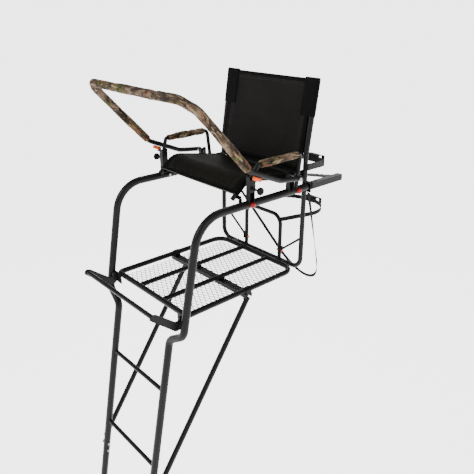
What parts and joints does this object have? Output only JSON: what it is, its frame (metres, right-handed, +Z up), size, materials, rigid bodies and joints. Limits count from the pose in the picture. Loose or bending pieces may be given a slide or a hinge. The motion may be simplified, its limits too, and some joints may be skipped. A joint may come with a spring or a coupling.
{
  "type": "ladder tree stand",
  "caption": "Ladder tree stand with a flip-up mesh seat, sling backrest, padded shooting rail, mesh platform, footrest and trunk straps",
  "frame": {"origin": "On the axis of the tree trunk that the stand straps to, level with the side rails beside the seat", "axes": "+Z up, +Y from the sitter's back towards the tree, +X to the sitter's left"},
  "size_m": [0.834, 1.9511, 4.4053],
  "materials": {
    "tube_paint": "satin dark grey powder coat",
    "plate_paint": "satin black powder coat",
    "deck_paint": "satin black powder coat",
    "zinc": "zinc plated",
    "orange_hardware": "orange-red coated",
    "red_cap": "glossy red",
    "orange_rubber": "soft orange sleeve",
    "black_plastic": "matte black",
    "camo_foam": "bark-pattern foam",
    "seat_fabric": "black woven mesh",
    "back_fabric": "black woven mesh with hems",
    "webbing": "black polyester webbing"
  },
  "bodies": {
    "stand": {"arch_rail_left": "tube_paint", "arch_rail_right": "tube_paint", "armrest_pads": "camo_foam", "armrests": "tube_paint", "back_lower_bar": "tube_paint", "back_sling": "back_fabric", "back_uprights": "tube_paint", "bolt_caps": "red_cap", "bottom_rail_left": "tube_paint", "bottom_rail_right": "tube_paint", "foot_plates": "plate_paint", "footrest_arms": "plate_paint", "footrest_bar": "tube_paint", "front_brackets": "plate_paint", "hoop_bolts": "orange_hardware", "hoop_braces": "tube_paint", "jaw_arms": "tube_paint", "ladder_pins": "zinc", "long_strap": "webbing", "lower_ratchet_frame": "plate_paint", "lower_strap": "webbing", "middle_rail_left": "tube_paint", "middle_rail_right": "tube_paint", "platform_bars": "tube_paint", "platform_clamps": "plate_paint", "platform_cross_bar": "plate_paint", "platform_frame": "tube_paint", "platform_gussets": "plate_paint", "platform_mesh": "deck_paint", "rail_bolts": "zinc", "rail_pivots": "zinc", "rail_rests": "orange_rubber", "rear_brackets": "plate_paint", "rear_clips": "plate_paint", "rear_frame": "tube_paint", "rungs": "tube_paint", "seat_hinge_tabs": "plate_paint", "seat_pins": "zinc", "seat_rests": "plate_paint", "side_rail_left": "tube_paint", "side_rail_right": "tube_paint", "strap_hooks": "plate_paint", "strut_bolts": "zinc", "struts": "tube_paint", "tree_hoop": "tube_paint", "tree_jaw": "plate_paint", "upper_ratchet_frame": "plate_paint", "upper_strap": "webbing"},
    "shooting_rail_body": {"shooting_rail": "tube_paint", "rail_foam": "camo_foam"},
    "seat_body": {"seat_tubes": "tube_paint", "seat_cross_tubes": "tube_paint", "seat_sling": "seat_fabric"},
    "knob_left_body": {"knob_left": "black_plastic"},
    "knob_right_body": {"knob_right": "black_plastic"},
    "upper_handle_body": {"upper_ratchet_handle": "plate_paint"},
    "lower_handle_body": {"lower_ratchet_handle": "plate_paint"},
    "upper_spool_body": {"upper_ratchet_spool": "zinc"},
    "lower_spool_body": {"lower_ratchet_spool": "zinc"}
  },
  "joints": [
    {"name": "shooting_rail_flip", "type": "hinge", "parent": "stand", "child": "shooting_rail_body", "pos_m": [0, -0.388, 0.086], "axis": [-1, 0, 0], "range_deg": [0, 68]},
    {"name": "seat_flip", "type": "hinge", "parent": "stand", "child": "seat_body", "pos_m": [0, -0.305, 0.052], "axis": [-1, 0, 0], "range_deg": [0, 82]},
    {"name": "knob_left_turn", "type": "hinge", "parent": "stand", "child": "knob_left_body", "pos_m": [0.354, -0.657, 0.084], "axis": [1, 0, 0], "continuous": true},
    {"name": "knob_right_turn", "type": "hinge", "parent": "stand", "child": "knob_right_body", "pos_m": [-0.354, -0.657, 0.084], "axis": [1, 0, 0], "continuous": true},
    {"name": "upper_handle_swing", "type": "hinge", "parent": "stand", "child": "upper_handle_body", "pos_m": [-0.03, 0.2028, 0.00918], "axis": [0, 0, 1], "range_deg": [0, 150]},
    {"name": "upper_spool_turn", "type": "hinge", "parent": "stand", "child": "upper_spool_body", "pos_m": [-0.03, 0.2028, 0.00918], "axis": [0, 0, 1], "continuous": true},
    {"name": "lower_handle_swing", "type": "hinge", "parent": "stand", "child": "lower_handle_body", "pos_m": [-0.03, 0.2028, -0.25326], "axis": [0, 0, 1], "range_deg": [0, 150]},
    {"name": "lower_spool_turn", "type": "hinge", "parent": "stand", "child": "lower_spool_body", "pos_m": [-0.03, 0.2028, -0.25326], "axis": [0, 0, 1], "continuous": true}
  ]
}
